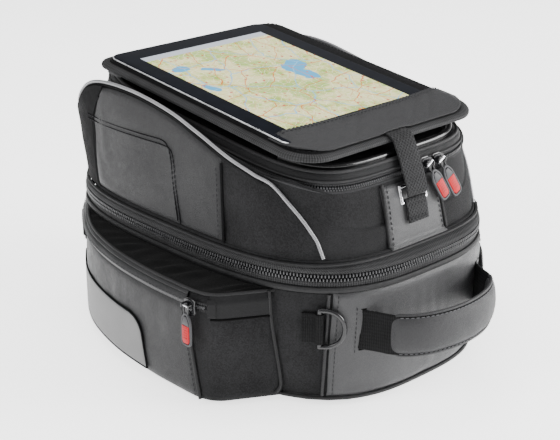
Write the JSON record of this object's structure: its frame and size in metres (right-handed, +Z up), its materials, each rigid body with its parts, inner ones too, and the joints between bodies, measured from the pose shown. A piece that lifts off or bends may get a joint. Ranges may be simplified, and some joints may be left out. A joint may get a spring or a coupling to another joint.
{
  "type": "motorcycle tank bag",
  "caption": "Expandable motorcycle tank bag with a hinged lid, tablet holder, zipped side pockets, carry handle and a lock recess underneath.",
  "frame": {"origin": "middle of the bottom panel, on the surface that the bag stands on", "axes": "+Z up, +Y the direction of travel (front of the bag), -Y towards the rider, +X to the rider's right"},
  "size_m": [0.3616, 0.4276, 0.2534],
  "materials": {
    "shell_fabric": "woven polyester, matt",
    "leather": "grained synthetic leather, satin",
    "webbing": "woven webbing and zip tape, matt",
    "piping_black": "covered piping cord",
    "piping_grey": "reflective piping, satin",
    "reflective": "reflective grey fabric",
    "zip_teeth": "moulded zip teeth",
    "base_eva": "moulded bottom panel, fine grain",
    "stiffener": "sheet plastic",
    "lock_plastic": "moulded nylon",
    "steel": "bright steel",
    "black_metal": "black lacquered zinc",
    "pull_red": "moulded soft red tab on a grey cord",
    "tablet_shell": "anodised",
    "tablet_glass": "glossy screen glass with a lit map"
  },
  "bodies": {
    "base": {"base_panel": "base_eva", "base_piping": "piping_black", "base_stiffener": "stiffener", "lower_shell": "shell_fabric", "rider_panel": "leather", "band_piping_lower": "piping_black", "zip_tape_lower": "webbing", "zip_coil_lower": "zip_teeth", "pocket_left": "shell_fabric", "pocket_right": "shell_fabric", "pocket_panels": "leather", "pocket_patches": "reflective", "pocket_zips": "webbing", "handle_anchors": "webbing", "ring_tabs": "webbing", "lock_housing": "lock_plastic", "lock_screws": "steel"},
    "latch": {"lock_latch": "steel", "release_pull": "pull_red"},
    "upper": {"upper_shell": "shell_fabric", "expansion_skirt": "shell_fabric", "zip_tape_upper": "webbing", "zip_coil_upper": "zip_teeth", "band_piping_upper": "piping_black", "side_panels": "leather", "side_pipings": "piping_grey", "rider_top_panel": "leather", "main_zip_lower": "webbing", "ring_strap": "webbing"},
    "strap_ring": {"strap_ring": "steel"},
    "lid": {"lid_panel": "shell_fabric", "lid_pipings": "piping_grey", "main_zip_upper": "webbing", "holder_hinges": "lock_plastic"},
    "holder": {"holder_pad": "leather", "holder_zip": "webbing", "holder_flap": "leather", "tablet_case": "tablet_shell", "tablet_screen": "tablet_glass"},
    "strap": {"closing_strap": "webbing"},
    "main_slider_a": {"main_slider_a": "black_metal"},
    "main_pull_a": {"main_pull_a": "pull_red"},
    "main_slider_b": {"main_slider_b": "black_metal"},
    "main_pull_b": {"main_pull_b": "pull_red"},
    "pocket_slider_left": {"pocket_slider_left": "black_metal"},
    "pocket_pull_left": {"pocket_pull_left": "pull_red"},
    "pocket_slider_right": {"pocket_slider_right": "black_metal"},
    "pocket_pull_right": {"pocket_pull_right": "pull_red"},
    "expansion_slider": {"expansion_slider": "black_metal"},
    "expansion_pull": {"expansion_pull": "pull_red"},
    "handle": {"handle_webbing": "webbing", "handle_grip": "leather"},
    "d_ring_rider_left": {"d_ring_rider_left": "black_metal"},
    "d_ring_rider_right": {"d_ring_rider_right": "black_metal"},
    "d_ring_front_left": {"d_ring_front_left": "black_metal"},
    "d_ring_front_right": {"d_ring_front_right": "black_metal"}
  },
  "joints": [
    {"name": "expansion", "type": "slide", "parent": "base", "child": "upper", "axis": [0, 0, 1], "range_m": [0, 0.05]},
    {"name": "lid_hinge", "type": "hinge", "parent": "upper", "child": "lid", "pos_m": [0, 0.16024, 0.22486], "axis": [-1, 0, 0], "range_deg": [0, 100]},
    {"name": "holder_hinge", "type": "hinge", "parent": "lid", "child": "holder", "pos_m": [0, 0.12544, 0.23906], "axis": [-1, 0, 0], "range_deg": [0, 60]},
    {"name": "strap_hinge", "type": "hinge", "parent": "holder", "child": "strap", "pos_m": [0, -0.1546, 0.2195], "axis": [-1, 0, 0], "range_deg": [0, 150]},
    {"name": "ring_hinge", "type": "hinge", "parent": "upper", "child": "strap_ring", "pos_m": [0, -0.1706, 0.165], "axis": [1, 0, 0], "range_deg": [0, 10]},
    {"name": "main_slide_b", "type": "slide", "parent": "upper", "child": "main_slider_b", "axis": [1, 0, 0], "range_m": [0, 0.03]},
    {"name": "main_slide_a", "type": "slide", "parent": "upper", "child": "main_slider_a", "axis": [1, 0, 0], "range_m": [0, 0.03]},
    {"name": "main_pull_a_swing", "type": "hinge", "parent": "main_slider_a", "child": "main_pull_a", "pos_m": [0.021, -0.1682, 0.191], "axis": [-1, 0, 0], "range_deg": [0, 100]},
    {"name": "main_pull_b_swing", "type": "hinge", "parent": "main_slider_b", "child": "main_pull_b", "pos_m": [0.036, -0.1682, 0.191], "axis": [-1, 0, 0], "range_deg": [0, 100]},
    {"name": "pocket_slide_left", "type": "slide", "parent": "base", "child": "pocket_slider_left", "axis": [0, 1, 0], "range_m": [0, 0.055]},
    {"name": "pocket_pull_left_swing", "type": "hinge", "parent": "pocket_slider_left", "child": "pocket_pull_left", "pos_m": [-0.179, -0.084, 0.094], "axis": [0, 1, 0], "range_deg": [0, 120]},
    {"name": "pocket_slide_right", "type": "slide", "parent": "base", "child": "pocket_slider_right", "axis": [0, 1, 0], "range_m": [0, 0.055]},
    {"name": "pocket_pull_right_swing", "type": "hinge", "parent": "pocket_slider_right", "child": "pocket_pull_right", "pos_m": [0.179, -0.084, 0.094], "axis": [0, -1, 0], "range_deg": [0, 120]},
    {"name": "expansion_slide", "type": "hinge", "parent": "base", "child": "expansion_slider", "pos_m": [0.00354, -0.0814, 0.1196], "axis": [0, 0, 1], "range_deg": [0, 15]},
    {"name": "expansion_pull_swing", "type": "hinge", "parent": "expansion_slider", "child": "expansion_pull", "pos_m": [0.12188, -0.13738, 0.1216], "axis": [-0.4274, -0.9041, 0], "range_deg": [0, 120]},
    {"name": "handle_swing", "type": "hinge", "parent": "base", "child": "handle", "pos_m": [0, -0.2, 0.072], "axis": [-1, 0, 0], "range_deg": [0, 50]},
    {"name": "ring_rider_left_swing", "type": "hinge", "parent": "base", "child": "d_ring_rider_left", "pos_m": [-0.1018, -0.1619, 0.075], "axis": [0, 0, -1], "range_deg": [0, 110]},
    {"name": "ring_rider_right_swing", "type": "hinge", "parent": "base", "child": "d_ring_rider_right", "pos_m": [0.1018, -0.1619, 0.075], "axis": [0, 0, 1], "range_deg": [0, 110]},
    {"name": "ring_front_left_swing", "type": "hinge", "parent": "base", "child": "d_ring_front_left", "pos_m": [-0.1013, 0.1649, 0.075], "axis": [0, 0, 1], "range_deg": [0, 110]},
    {"name": "ring_front_right_swing", "type": "hinge", "parent": "base", "child": "d_ring_front_right", "pos_m": [0.1013, 0.1649, 0.075], "axis": [0, 0, -1], "range_deg": [0, 110]},
    {"name": "latch_slide", "type": "slide", "parent": "base", "child": "latch", "axis": [0, -1, 0], "range_m": [0, 0.005]}
  ],
  "couplings": [
    {"joint": "main_slide_a", "follows": "main_slide_b", "ratio": 1}
  ]
}
